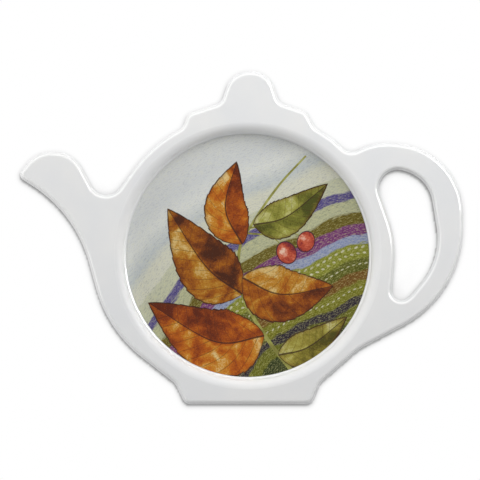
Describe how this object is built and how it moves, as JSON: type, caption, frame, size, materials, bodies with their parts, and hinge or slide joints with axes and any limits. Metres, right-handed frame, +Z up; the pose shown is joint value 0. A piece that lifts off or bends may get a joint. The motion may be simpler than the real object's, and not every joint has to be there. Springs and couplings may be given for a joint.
{
  "type": "tea bag rest",
  "caption": "Flat teapot-shaped tray with a round shallow well that holds used tea bags, a loop handle cut through one side and a printed disc under clear glaze in the well.",
  "frame": {"origin": "under the middle of the outline, on the table plane", "axes": "+X towards the handle, +Y towards the lid and knob, +Z up out of the printed face"},
  "size_m": [0.1598, 0.12, 0.01],
  "materials": {
    "white_melamine": "pressed gloss",
    "printed_foil": "printed paper moulded in",
    "melamine_glaze": "clear gloss glaze"
  },
  "bodies": {
    "root": {"tray_shell": "white_melamine", "print_foil": "printed_foil", "clear_glaze": "melamine_glaze"}
  },
  "joints": []
}
